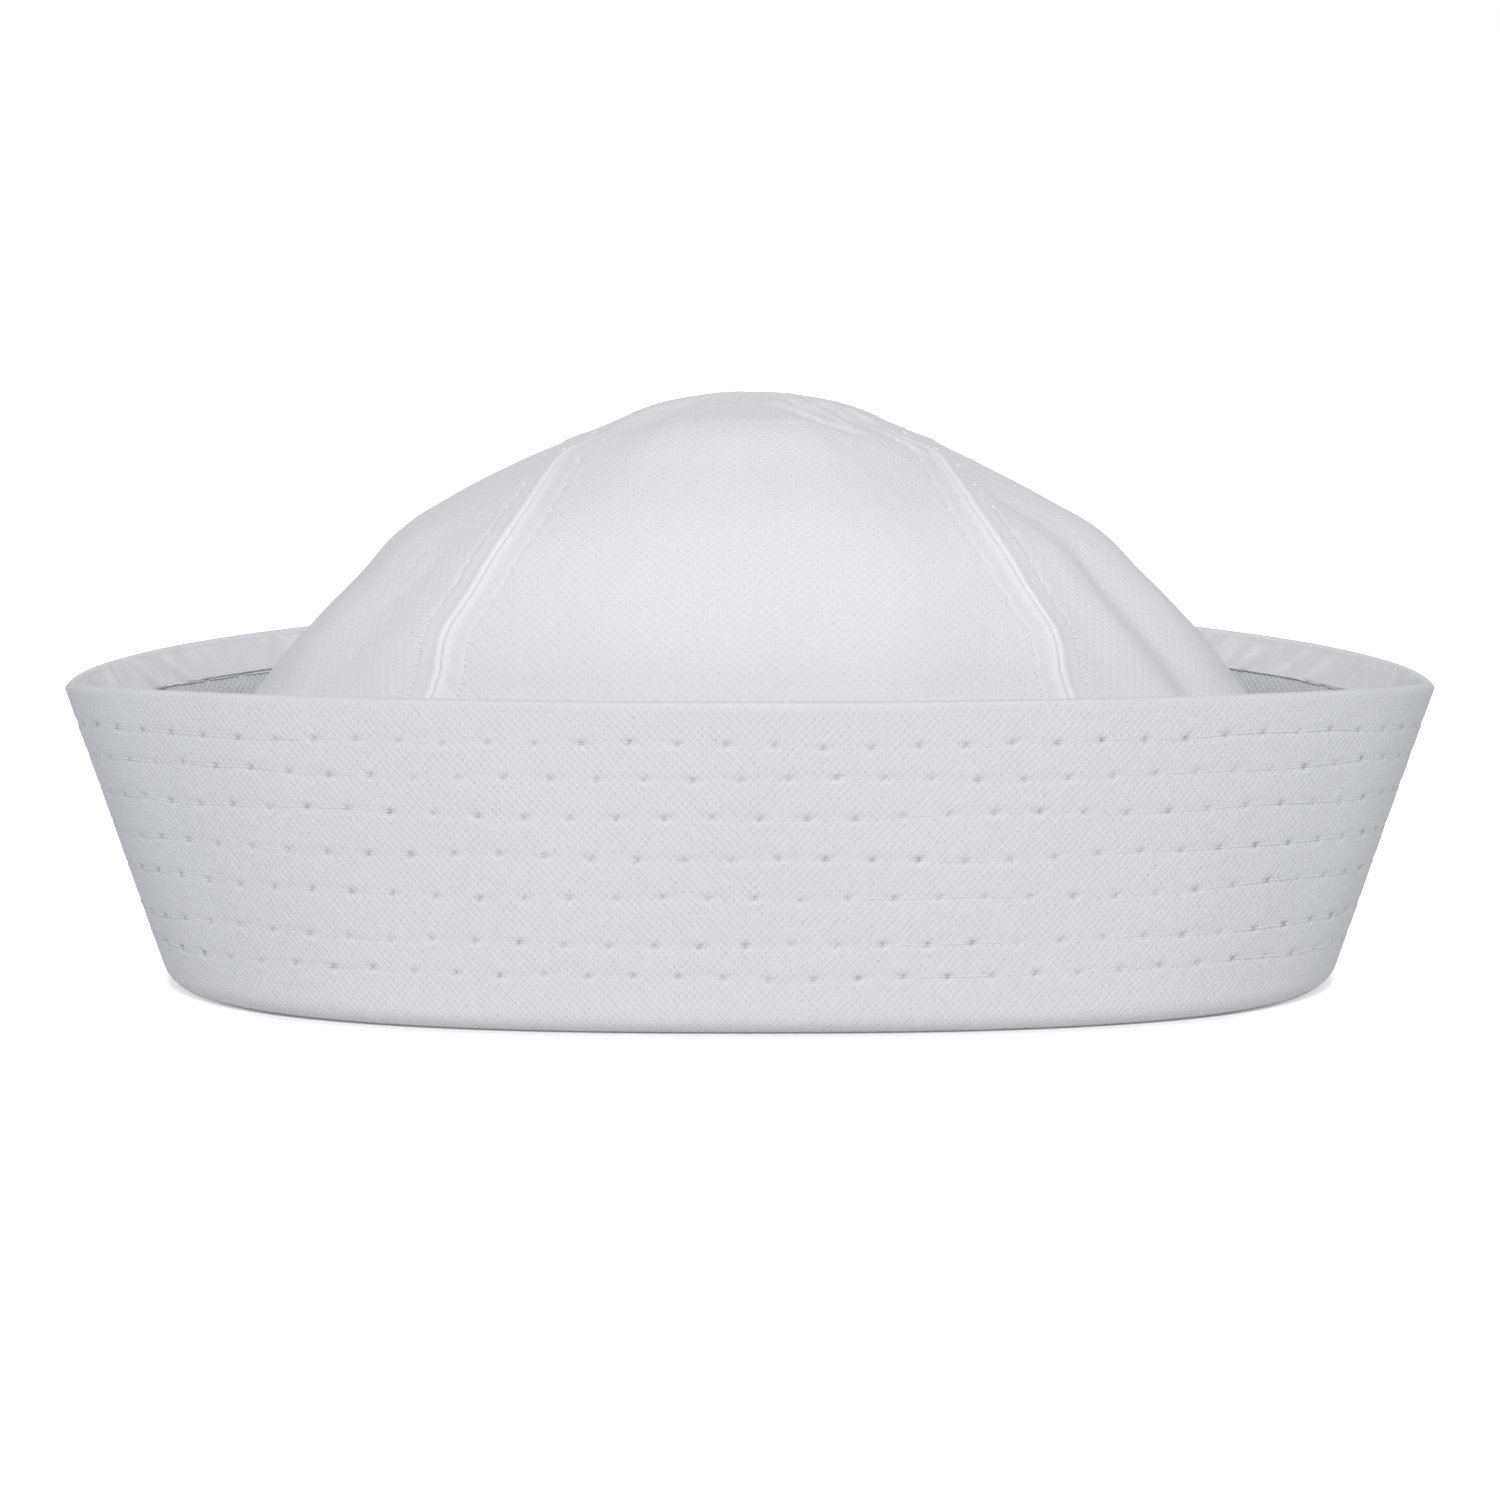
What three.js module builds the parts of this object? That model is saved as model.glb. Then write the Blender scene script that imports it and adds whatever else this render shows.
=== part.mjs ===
// A sailor cap: a four-panel cloth crown standing inside a tall brim that is turned up all round.
// Millimetres, +Z up. The origin is the middle of the foot, on the surface that the cap stands on.
// The front of the cap faces -Y, and left and right are as seen from the front (-X and +X).
import * as THREE from "three";

// Brim: outside sizes of the foot and of the rim, half of the full width and depth.
const FOOT_HALF_WIDTH = 115;
const FOOT_HALF_DEPTH = 77;
const RIM_HALF_WIDTH = 136;
const RIM_HALF_DEPTH = 90;
const RIM_SIDE_HEIGHT = 58;
const RIM_FRONT_HEIGHT = 65;
// How the rim rises from the sides to the front: the power of its curve, and how round its low ends are.
const RIM_RISE_POWER = 0.85;
const RIM_END_SOFTENING = 0.06;
// Squareness of the ovals: 2 is an ellipse, more is boxier, less is more pointed at the sides.
const FOOT_SQUARENESS = 2.5;
const RIM_SQUARENESS = 1.75;
// The brim's lower edge is a rounded fold, and the cloth then runs inwards under the crown as a flat hem.
const FOLD_RADIUS = 4;

// Cloth
const BRIM_CLOTH = 1.1;
const LINING_CLOTH = 1;
const FACING_CLOTH = 1.1;
const CROWN_CLOTH = 1.2;
const PLY_GAP = 0.3;
const SEAM_GAP = 0.3;

// Depth of the facing, the outer cloth turned over the rim, and its rounded edge as a share of its cloth.
const FACING_DEPTH = 8;
const FACING_EDGE_SHARE = 0.4;
// Rows of stitching sunk into the brim, as shares of the way down from the rim to the foot.
const STITCH_ROWS = [0.135, 0.245, 0.365, 0.5, 0.627, 0.774, 0.878];
const STITCH_ROW_DEPTH = 0.35;

// Crown: it stands inside the brim, on the hem, this far in from the brim's outside.
const CROWN_INSET = 7;
const CROWN_HEIGHT = 116;
// Seam allowances are pressed open under the cloth and raise a flat rib beside each seam.
const SEAM_BAND = 5.5;
const SEAM_BAND_RISE = 0.5;
const SEAM_BAND_STEP = 0.9;
// Near the crown's point a panel is narrow: its bands stay within these shares of its width.
const NARROW_BAND_SHARE = 0.2;
const NARROW_STEP_SHARE = 0.26;

// Level sections of the crown's outside. Height is a share of the crown's height above its lower edge,
// width and depth are shares of its half width and half depth there, square is the oval's squareness,
// and seam is the place of the corner seams as a share of the section's half width.
const CROWN_SECTIONS = [
  { height: 0.0, width: 1.0, depth: 1.0, square: 2.45, seam: 0.6 },
  { height: 0.15, width: 0.995, depth: 0.995, square: 2.35, seam: 0.605 },
  { height: 0.3, width: 0.98, depth: 0.975, square: 2.2, seam: 0.62 },
  { height: 0.42, width: 0.945, depth: 0.93, square: 2.1, seam: 0.635 },
  { height: 0.52, width: 0.88, depth: 0.875, square: 2.05, seam: 0.65 },
  { height: 0.61, width: 0.8, depth: 0.812, square: 2.0, seam: 0.68 },
  { height: 0.69, width: 0.714, depth: 0.748, square: 2.0, seam: 0.69 },
  { height: 0.755, width: 0.648, depth: 0.685, square: 2.0, seam: 0.7 },
  { height: 0.815, width: 0.548, depth: 0.611, square: 2.0, seam: 0.745 },
  { height: 0.87, width: 0.438, depth: 0.523, square: 2.0, seam: 0.83 },
  { height: 0.91, width: 0.342, depth: 0.445, square: 2.0, seam: 0.915 },
  { height: 0.945, width: 0.256, depth: 0.367, square: 2.0, seam: 0.93 },
  { height: 0.968, width: 0.201, depth: 0.29, square: 2.0, seam: 0.93 },
  { height: 0.985, width: 0.138, depth: 0.165, square: 2.0, seam: 0.9 },
];
// What is left open round the crown's point, where the four panels meet.
const POINT_OPENING = 0.5;
// Columns of facets across a panel, between its two seam bands.
const FRONT_COLUMNS = 12;
const SIDE_COLUMNS = 10;
// Facets round the brim.
const BRIM_STEPS = 96;
// Ways across the brim: the hem's inner edge, the fold's two ends and the rim, with the facets between.
const HEM_EDGE = 0;
const FOLD_FOOT = 1;
const FOLD_TOP = 2;
const RIM = 3;
const FOLD_OUTSIDE_WAYS = [1.67, 1.33];
const FOLD_INSIDE_WAYS = [1.5];
const SHELL_INSIDE_WAYS = [2.33, 2.67];
const LINING_WAYS = [2.28, 2.55];
// Steps in which a crown section is walked along to measure it.
const WALK_STEPS = 160;

// Power of the curve by which a fold fades out at its two ends.
const FOLD_FADE_POWER = 0.7;
// Soft folds of the crown: turn is the angle from the side towards the front in degrees, spread its
// half width in degrees, from and to the heights it runs between, and depth how far it sinks in.
const CROWN_FOLDS = [
  { panel: "right", turn: 27, spread: 9, from: 0.3, to: 0.82, depth: 1.9 },
  { panel: "right", turn: 12, spread: 8, from: 0.35, to: 0.8, depth: -0.8 },
  { panel: "left", turn: 30, spread: 12, from: 0.4, to: 0.75, depth: 0.6 },
];

const quarterTurn = Math.PI / 2;
const hemInset = CROWN_INSET + CROWN_CLOTH;

function mix(a, b, share) {
  return a + (b - a) * share;
}

// A point of an oval of half axes a and b: turn 0 is at +X and a quarter turn is at the front, -Y.
function ovalPoint(a, b, squareness, turn, z) {
  const c = Math.cos(turn);
  const s = Math.sin(turn);
  const x = a * Math.sign(c) * Math.abs(c) ** (2 / squareness);
  const y = -b * Math.sign(s) * Math.abs(s) ** (2 / squareness);
  return new THREE.Vector3(x, y, z);
}

// How far the brim's rim has risen from its side height (0) to its front height (1).
function rimRise(turn) {
  const frontness = Math.abs(Math.sin(turn));
  const least = RIM_END_SOFTENING ** RIM_RISE_POWER;
  return (Math.hypot(frontness, RIM_END_SOFTENING) ** RIM_RISE_POWER - least) / (1 - least);
}

function rimHeight(turn) {
  return mix(RIM_SIDE_HEIGHT, RIM_FRONT_HEIGHT, rimRise(turn));
}

// The brim's outside. Way runs 0 to 1 across the hem, 1 to 2 round the fold and 2 to 3 up the wall.
function brimOutside(turn, way) {
  const height = rimHeight(turn);
  let inset = 0;
  let z = 0;
  if (way <= FOLD_FOOT) {
    inset = mix(hemInset, FOLD_RADIUS, way);
  } else if (way <= FOLD_TOP) {
    const bend = (way - FOLD_FOOT) * quarterTurn;
    inset = FOLD_RADIUS * (1 - Math.sin(bend));
    z = FOLD_RADIUS * (1 - Math.cos(bend));
  } else {
    z = mix(FOLD_RADIUS, height, way - FOLD_TOP);
  }
  const up = z / height;
  const a = mix(FOOT_HALF_WIDTH, RIM_HALF_WIDTH, up) - inset;
  const b = mix(FOOT_HALF_DEPTH, RIM_HALF_DEPTH, up) - inset;
  return ovalPoint(a, b, mix(FOOT_SQUARENESS, RIM_SQUARENESS, up), turn, z);
}

function brimNormal(turn, way) {
  const step = 0.002;
  const hair = 1e-9;
  const across = brimOutside(turn + step, way).sub(brimOutside(turn - step, way));
  const low = Math.max(way - step, Math.floor(way - hair), HEM_EDGE);
  const high = Math.min(way + step, Math.ceil(way + hair), RIM);
  const along = brimOutside(turn, high).sub(brimOutside(turn, low));
  return along.cross(across).normalize();
}

// A point at a depth under the brim's outside.
function brimPoint(turn, way, depth) {
  return brimOutside(turn, way).addScaledVector(brimNormal(turn, way), -depth);
}

// A length down from the rim, as a way on the wall.
function wayBelowRim(turn, length) {
  const wall = brimOutside(turn, RIM).distanceTo(brimOutside(turn, FOLD_TOP));
  return RIM - length / wall;
}

// Joins rings of points into a closed body: each ring is one closed outline of the wall's thickness.
function bodyFromOutlines(outlines) {
  const count = outlines[0].length;
  const positions = outlines.flat().flatMap((point) => point.toArray());
  const index = [];
  outlines.forEach((_, i) => {
    const next = (i + 1) % outlines.length;
    for (let j = 0; j < count; j += 1) {
      const k = (j + 1) % count;
      index.push(i * count + j, next * count + j, next * count + k);
      index.push(i * count + j, next * count + k, i * count + k);
    }
  });
  return geometryFrom(positions, index);
}

function geometryFrom(positions, index) {
  const geometry = new THREE.BufferGeometry();
  geometry.setAttribute("position", new THREE.Float32BufferAttribute(positions, 3));
  geometry.setIndex(index);
  geometry.computeVertexNormals();
  return geometry;
}

// A ring swept round the brim from a list of stations, each giving a way and a depth for a turn.
function brimRing(stations) {
  const outlines = [];
  for (let i = 0; i < BRIM_STEPS; i += 1) {
    const turn = (i / BRIM_STEPS) * 2 * Math.PI;
    outlines.push(stations.map((station) => brimPoint(turn, station.way(turn), station.depth)));
  }
  return bodyFromOutlines(outlines);
}

function fixedWay(way, depth) {
  return { way: () => way, depth };
}

function fixedWays(ways, depth) {
  return ways.map((way) => fixedWay(way, depth));
}

function belowRim(length, depth) {
  return { way: (turn) => wayBelowRim(turn, length), depth };
}

// Outer ply of the brim: puffed between the sunk rows of stitching, folded at the foot, hemmed inwards.
function brimShellGeometry() {
  const stations = [fixedWay(RIM, BRIM_CLOTH), fixedWay(RIM, 0)];
  STITCH_ROWS.forEach((share, i) => {
    const next = STITCH_ROWS[i + 1] ?? 1;
    stations.push(fixedWay(RIM - share, STITCH_ROW_DEPTH));
    stations.push(fixedWay(RIM - (share + next) / 2, 0));
  });
  const outside = [FOLD_TOP, ...FOLD_OUTSIDE_WAYS, FOLD_FOOT, HEM_EDGE];
  const inside = [HEM_EDGE, FOLD_FOOT, ...FOLD_INSIDE_WAYS, FOLD_TOP, ...SHELL_INSIDE_WAYS];
  stations.push(...fixedWays(outside, 0), ...fixedWays(inside, BRIM_CLOTH));
  return brimRing(stations);
}

// Inner ply of the brim, from just above the fold to just under the facing.
function brimLiningGeometry() {
  const outside = BRIM_CLOTH + PLY_GAP;
  const inside = outside + LINING_CLOTH;
  const top = FACING_DEPTH + PLY_GAP;
  return brimRing([
    belowRim(top, inside),
    belowRim(top, outside),
    ...fixedWays([...LINING_WAYS].reverse(), outside),
    fixedWay(FOLD_TOP, outside),
    fixedWay(FOLD_TOP, inside),
    ...fixedWays(LINING_WAYS, inside),
  ]);
}

// The outer cloth turned over the rim, lying against the inside of the outer ply.
function rimFacingGeometry() {
  const outside = BRIM_CLOTH + PLY_GAP;
  const inside = outside + FACING_CLOTH;
  const softEdge = FACING_CLOTH * FACING_EDGE_SHARE;
  return brimRing([
    belowRim(softEdge, inside),
    belowRim(0, outside + softEdge),
    belowRim(0, outside),
    belowRim(FACING_DEPTH, outside),
    belowRim(FACING_DEPTH, inside),
  ]);
}

// Crown sections in millimetres, from the lower edge to just under the point.
const crownFoot = BRIM_CLOTH + PLY_GAP;
const crownHalfWidth = FOOT_HALF_WIDTH - CROWN_INSET;
const crownHalfDepth = FOOT_HALF_DEPTH - CROWN_INSET;

function crownPoint(section, turn) {
  const z = mix(crownFoot, CROWN_HEIGHT, section.height);
  return ovalPoint(section.width * crownHalfWidth, section.depth * crownHalfDepth, section.square, turn, z);
}

// The turn at which the corner seam crosses a section.
function seamTurn(section) {
  return Math.acos(section.seam ** (section.square / 2));
}

// How far the cloth sinks in at a place of a panel.
function foldDepth(panel, section, turnFromSide) {
  return CROWN_FOLDS.filter((fold) => fold.panel === panel).reduce((sum, fold) => {
    const across = (THREE.MathUtils.radToDeg(turnFromSide) - fold.turn) / fold.spread;
    const along = (section.height - fold.from) / (fold.to - fold.from);
    const fade = along <= 0 || along >= 1 ? 0 : Math.sin(along * Math.PI) ** FOLD_FADE_POWER;
    return sum + fold.depth * Math.exp(-across * across) * fade;
  }, 0);
}

// Turns of a section, one for each wanted length from the panel's first seam, by walking along it.
function turnsAtLengths(section, from, to, lengths) {
  const walked = [0];
  let last = crownPoint(section, from);
  for (let i = 1; i <= WALK_STEPS; i += 1) {
    const point = crownPoint(section, mix(from, to, i / WALK_STEPS));
    walked.push(walked[i - 1] + point.distanceTo(last));
    last = point;
  }
  return lengths(walked[WALK_STEPS]).map((length) => {
    const above = Math.max(1, walked.findIndex((value) => value >= length));
    const share = (length - walked[above - 1]) / (walked[above] - walked[above - 1]);
    return mix(from, to, (above - 1 + Math.min(share, 1)) / WALK_STEPS);
  });
}

// Lengths along a section: the seam, the band's inner edge, its step, then even columns to the middle.
function columnLengths(total, columns) {
  const start = SEAM_GAP / 2;
  const band = Math.min(SEAM_BAND, total * NARROW_BAND_SHARE);
  const step = Math.min(SEAM_BAND + SEAM_BAND_STEP, total * NARROW_STEP_SHARE);
  const lengths = [start, band, step];
  for (let i = 1; i < columns; i += 1) {
    lengths.push(mix(step, total - step, i / columns));
  }
  lengths.push(total - step, total - band, total - start);
  return lengths;
}

// One wedge of the crown, between the turns of its two seams, narrowing to the crown's point.
function crownPanelGeometry(name, seamsOf, columns) {
  const rows = CROWN_SECTIONS.map((section) => {
    const [from, to] = seamsOf(section);
    return turnsAtLengths(section, from, to, (total) => columnLengths(total, columns));
  });
  const middle = (seamsOf(CROWN_SECTIONS[0])[0] + seamsOf(CROWN_SECTIONS[0])[1]) / 2;
  const width = rows[0].length;
  const raised = (j) => (j < 2 || j > width - 3 ? SEAM_BAND_RISE : 0);
  const point = new THREE.Vector3(0, 0, CROWN_HEIGHT);
  const toMiddle = new THREE.Vector3(Math.cos(middle), -Math.sin(middle), 0);
  const tip = point.clone().addScaledVector(toMiddle, POINT_OPENING);

  const smooth = rows.map((turns, i) => turns.map((turn) => crownPoint(CROWN_SECTIONS[i], turn)));
  const normalAt = (i, j) => {
    const up = (smooth[i + 1]?.[j] ?? tip).clone().sub(smooth[Math.max(i - 1, 0)][j]);
    const across = smooth[i][Math.min(j + 1, width - 1)].clone().sub(smooth[i][Math.max(j - 1, 0)]);
    return up.cross(across).normalize();
  };
  const outer = [];
  const inner = [];
  smooth.forEach((row, i) => {
    row.forEach((place, j) => {
      const normal = normalAt(i, j);
      const turnFromSide = Math.asin(Math.min(1, Math.max(-1, Math.sin(rows[i][j]))));
      const sink = foldDepth(name, CROWN_SECTIONS[i], turnFromSide);
      const out = place.clone().addScaledVector(normal, raised(j) - sink);
      const under = place.clone().addScaledVector(normal, -CROWN_CLOTH - sink);
      if (i === 0) {
        out.z = crownFoot;
        under.z = crownFoot;
      }
      outer.push(out);
      inner.push(under);
    });
  });
  const outerTip = tip.clone();
  const innerTip = tip.clone().setZ(CROWN_HEIGHT - CROWN_CLOTH);
  return closedPanel(outer, inner, outerTip, innerTip, rows.length, width);
}

// Closes an outer and an inner grid with a shared tip into one body.
function closedPanel(outer, inner, outerTip, innerTip, rowCount, width) {
  const points = [...outer, ...inner, outerTip, innerTip];
  const positions = points.flatMap((place) => place.toArray());
  const under = outer.length;
  const topOuter = points.length - 2;
  const topInner = points.length - 1;
  const index = [];
  const quad = (a, b, c, d) => index.push(a, b, c, a, c, d);
  for (let i = 0; i < rowCount - 1; i += 1) {
    for (let j = 0; j < width - 1; j += 1) {
      const a = i * width + j;
      const b = a + width;
      quad(a, b, b + 1, a + 1);
      quad(under + a, under + a + 1, under + b + 1, under + b);
    }
    const left = i * width;
    const right = left + width - 1;
    quad(left, under + left, under + left + width, left + width);
    quad(right, right + width, under + right + width, under + right);
  }
  const lastRow = (rowCount - 1) * width;
  for (let j = 0; j < width - 1; j += 1) {
    quad(j, j + 1, under + j + 1, under + j);
    index.push(lastRow + j, topOuter, lastRow + j + 1);
    index.push(under + lastRow + j, under + lastRow + j + 1, topInner);
  }
  const lastRight = lastRow + width - 1;
  quad(lastRow, under + lastRow, topInner, topOuter);
  quad(lastRight, topOuter, topInner, under + lastRight);
  return geometryFrom(positions, index);
}

const frontSeams = (section) => [seamTurn(section), Math.PI - seamTurn(section)];
const backSeams = (section) => [Math.PI + seamTurn(section), 2 * Math.PI - seamTurn(section)];
const rightSeams = (section) => [-seamTurn(section), seamTurn(section)];
const leftSeams = (section) => [Math.PI - seamTurn(section), Math.PI + seamTurn(section)];

const white = new THREE.Color(0.86, 0.86, 0.88);
const grey = new THREE.Color(0.62, 0.63, 0.65);
const outerCloth = new THREE.MeshStandardMaterial({ color: white, roughness: 0.85, metalness: 0 });
const liningCloth = new THREE.MeshStandardMaterial({ color: grey, roughness: 0.95, metalness: 0 });

const cap = new THREE.Group();

function addPiece(name, geometry, material) {
  const mesh = new THREE.Mesh(geometry, material.clone());
  mesh.name = name;
  cap.add(mesh);
}

addPiece("crown_front_panel", crownPanelGeometry("front", frontSeams, FRONT_COLUMNS), outerCloth);
addPiece("crown_back_panel", crownPanelGeometry("back", backSeams, FRONT_COLUMNS), outerCloth);
addPiece("crown_right_panel", crownPanelGeometry("right", rightSeams, SIDE_COLUMNS), outerCloth);
addPiece("crown_left_panel", crownPanelGeometry("left", leftSeams, SIDE_COLUMNS), outerCloth);
addPiece("brim_shell", brimShellGeometry(), outerCloth);
addPiece("brim_lining", brimLiningGeometry(), liningCloth);
addPiece("rim_facing", rimFacingGeometry(), outerCloth);

export default cap;
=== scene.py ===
import math

import bmesh
import bpy
import numpy as np
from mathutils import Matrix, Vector


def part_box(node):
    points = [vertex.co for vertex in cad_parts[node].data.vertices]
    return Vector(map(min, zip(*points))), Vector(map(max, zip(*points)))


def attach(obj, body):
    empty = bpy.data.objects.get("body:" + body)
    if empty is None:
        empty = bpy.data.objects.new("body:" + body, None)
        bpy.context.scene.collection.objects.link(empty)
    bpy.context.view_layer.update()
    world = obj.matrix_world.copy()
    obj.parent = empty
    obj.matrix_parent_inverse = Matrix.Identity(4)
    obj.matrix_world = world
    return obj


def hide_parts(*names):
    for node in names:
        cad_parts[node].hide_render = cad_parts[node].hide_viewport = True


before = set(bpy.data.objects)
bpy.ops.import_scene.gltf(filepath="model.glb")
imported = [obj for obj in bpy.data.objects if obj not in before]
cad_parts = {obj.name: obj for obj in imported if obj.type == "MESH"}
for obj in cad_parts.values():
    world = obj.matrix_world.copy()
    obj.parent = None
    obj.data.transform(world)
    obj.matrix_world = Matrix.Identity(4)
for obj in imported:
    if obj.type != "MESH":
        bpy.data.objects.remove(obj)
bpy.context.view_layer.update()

MM = 0.001

# Camera: in front of the cap and a little above it, looking at the middle of its height.
VIEW_DISTANCE = 1.5
VIEW_ELEVATION = math.radians(7.2)
VIEW_HEIGHT = 44.8 * MM
PIXELS_PER_METRE = 5036
PHOTO_PIXELS = 1500
SENSOR_WIDTH = 36


def new_object(name, data):
    made = bpy.data.objects.new(name, data)
    bpy.context.scene.collection.objects.link(made)
    return made


camera_data = bpy.data.cameras.new("camera")
camera_data.sensor_width = SENSOR_WIDTH
camera_data.lens = SENSOR_WIDTH * PIXELS_PER_METRE * VIEW_DISTANCE / PHOTO_PIXELS
camera = new_object("camera", camera_data)
camera.location = (
    0,
    -VIEW_DISTANCE * math.cos(VIEW_ELEVATION),
    VIEW_HEIGHT + VIEW_DISTANCE * math.sin(VIEW_ELEVATION),
)
camera.rotation_euler = (math.pi / 2 - VIEW_ELEVATION, 0, 0)
bpy.context.scene.camera = camera
bpy.context.scene.view_settings.view_transform = "Standard"


# Studio: a white floor in a white room, with one broad soft light high in front of the cap and weak
# ones behind it and to its sides. Room and floor are dimmer as lights than they look to the camera.
class Wire:
    """One output of a material's nodes: sums and products of wires add maths nodes to its tree."""

    def __init__(self, tree, socket=None):
        self.tree = tree
        self.socket = socket

    def node(self, kind, settings=None, values=None, output=0):
        made = self.tree.nodes.new(kind)
        for name, setting in (settings or {}).items():
            setattr(made, name, setting)
        for name, value in (values or {}).items():
            if isinstance(value, Wire):
                self.tree.links.new(value.socket, made.inputs[name])
            else:
                made.inputs[name].default_value = value
        return Wire(self.tree, made.outputs[output])

    def maths(self, operation, *values):
        return self.node("ShaderNodeMath", {"operation": operation}, dict(enumerate(values)))

    def __add__(self, other):
        return self.maths("ADD", self, other)

    def __sub__(self, other):
        return self.maths("SUBTRACT", self, other)

    def __rsub__(self, other):
        return self.maths("SUBTRACT", other, self)

    def __mul__(self, other):
        return self.maths("MULTIPLY", self, other)

    def __truediv__(self, other):
        return self.maths("DIVIDE", self, other)

    def __pow__(self, other):
        return self.maths("POWER", self, other)

    __radd__ = __add__
    __rmul__ = __mul__

    def cosine(self):
        return self.maths("COSINE", self)

    def size(self):
        return self.maths("ABSOLUTE", self)

    def beside(self, output):
        """Another output of the same node."""
        return Wire(self.tree, self.socket.node.outputs[output])

    def tint(self, clean):
        """Black where this wire is 0 and the clean colour where it is 1, and no brighter above 1."""
        ends = {0: self, 6: (0, 0, 0, 1), 7: clean}
        return self.node("ShaderNodeMix", {"data_type": "RGBA"}, ends, output=2)

    def into(self, node, name):
        self.tree.links.new(self.socket, node.inputs[name])


WHITE = (1, 1, 1, 1)
ROOM_COLOUR = (0.955, 0.98, 1.045, 1)
ROOM_LIGHT = 0.22

world = bpy.data.worlds.new("white_room")
world.use_nodes = True
room = Wire(world.node_tree)
lit = room.node("ShaderNodeBackground", values={"Color": ROOM_COLOUR, "Strength": ROOM_LIGHT})
seen = room.node("ShaderNodeBackground", values={"Color": WHITE, "Strength": 1.0})
to_camera = room.node("ShaderNodeLightPath")
both = room.node("ShaderNodeMixShader", values={0: to_camera, 1: lit, 2: seen})
both.into(world.node_tree.nodes["World Output"], "Surface")
bpy.context.scene.world = world


def new_material(name):
    material = bpy.data.materials.new(name)
    material.use_nodes = True
    return material, Wire(material.node_tree), material.node_tree.nodes["Principled BSDF"]


FLOOR_REACH = 6
# The hem stands on the ground, and the floor lies a hair lower, so the two never share a plane.
FLOOR_DROP = 0.02 * MM
floor_mesh = bpy.data.meshes.new("floor")
corners = np.array([(-1, -1, 0), (1, -1, 0), (1, 1, 0), (-1, 1, 0)]) * FLOOR_REACH
corners = corners - np.array([0, 0, FLOOR_DROP])
floor_mesh.from_pydata(corners.tolist(), [], [(0, 1, 2, 3)])
floor = new_object("floor", floor_mesh)
floor_material, floor_start, floor_shader = new_material("white_floor")
floor_shader.inputs["Base Color"].default_value = (0.9, 0.9, 0.9, 1)
floor_shader.inputs["Roughness"].default_value = 0.9
floor_shader.inputs["Specular IOR Level"].default_value = 0
# A glow that only the camera sees makes the floor white. It fades between a far oval and the cap's
# foot, further at the front where the key light falls, and leaves a soft contact shadow there.
GLOW_FOOT = (115 * MM, 77 * MM)
GLOW_FAR = (118.5 * MM, 118 * MM)
GLOW_SQUARENESS = 2.5
FRONT_GLOW = 0.2
SIDE_GLOW = 0.5
SIDE_FROM = 92 * MM
SIDE_TO = 108.1 * MM
position = floor_start.node("ShaderNodeNewGeometry")
floor_place = floor_start.node("ShaderNodeSeparateXYZ", values={0: position})
floor_x = floor_place.size()
floor_y = floor_place.beside(1).size()


def oval_reach(half_width, half_depth):
    """How far out each place of the floor is, as a share of the way to an oval's edge."""
    sideways = (floor_x * (1 / half_width)) ** GLOW_SQUARENESS
    frontways = (floor_y * (1 / half_depth)) ** GLOW_SQUARENESS
    return (sideways + frontways) ** (1 / GLOW_SQUARENESS)


from_foot = oval_reach(*GLOW_FOOT)
from_far = oval_reach(*GLOW_FAR)
away = (from_foot - 1) / (from_foot - from_far)
sides = {0: floor_x, 1: SIDE_FROM, 2: SIDE_TO, 3: FRONT_GLOW, 4: SIDE_GLOW}
nearest_glow = floor_start.node("ShaderNodeMapRange", values=sides)
spread = floor_start.node("ShaderNodeMapRange", values={0: away, 3: nearest_glow, 4: 1.0})
floor_glow = floor_start.node("ShaderNodeLightPath") * spread
floor_glow.tint(WHITE).into(floor_shader, "Emission Color")
floor_shader.inputs["Emission Strength"].default_value = 1.0
floor_mesh.materials.append(floor_material)


def soft_light(name, place, aim, size, power, colour=(1, 1, 1)):
    data = bpy.data.lights.new(name, "AREA")
    data.color = colour
    data.shape = "RECTANGLE"
    data.size, data.size_y = size
    data.energy = power
    light = new_object(name, data)
    light.location = place
    light.rotation_euler = (Vector(aim) - Vector(place)).to_track_quat("-Z", "Y").to_euler()


CAP_MIDDLE = (0, 0, 60 * MM)
COOL = (0.96, 0.98, 1.04)
KEY_LIGHT = 20.5
BACK_LIGHT = 7
SIDE_LIGHT = 3.1
# Places and sizes of the lights, in metres.
soft_light("key_light", (0, -1.5, 1.15), CAP_MIDDLE, (0.6, 0.6), KEY_LIGHT)
soft_light("back_light", (0, 1.5, 0.8), CAP_MIDDLE, (1.2, 0.8), BACK_LIGHT, COOL)
soft_light("left_light", (-1.5, 0.7, 0.5), CAP_MIDDLE, (0.6, 0.6), SIDE_LIGHT, COOL)
soft_light("right_light", (1.5, 0.7, 0.5), CAP_MIDDLE, (0.6, 0.6), SIDE_LIGHT, COOL)

# Brim, outer ply: a strip of white pinhole pique cut to a flared ring and turned up all round. Its
# lower edge is folded in under the crown, its upper edge is turned over the rim as a narrow facing,
# and seven rows of long stitches hold it to the inner ply.
_, brim_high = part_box("brim_shell")
RIM_HALF_WIDTH = brim_high[0]
RIM_HALF_DEPTH = brim_high[1]
RIM_FRONT_HEIGHT = 65 * MM
RIM_SIDE_HEIGHT = 58 * MM
FOOT_HALF_WIDTH = 115 * MM
FOOT_HALF_DEPTH = 77 * MM
FOOT_SQUARENESS = 2.5
RIM_SQUARENESS = 1.75
FOLD_RADIUS = 4 * MM
HEM_INSET = 8.2 * MM
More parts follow.
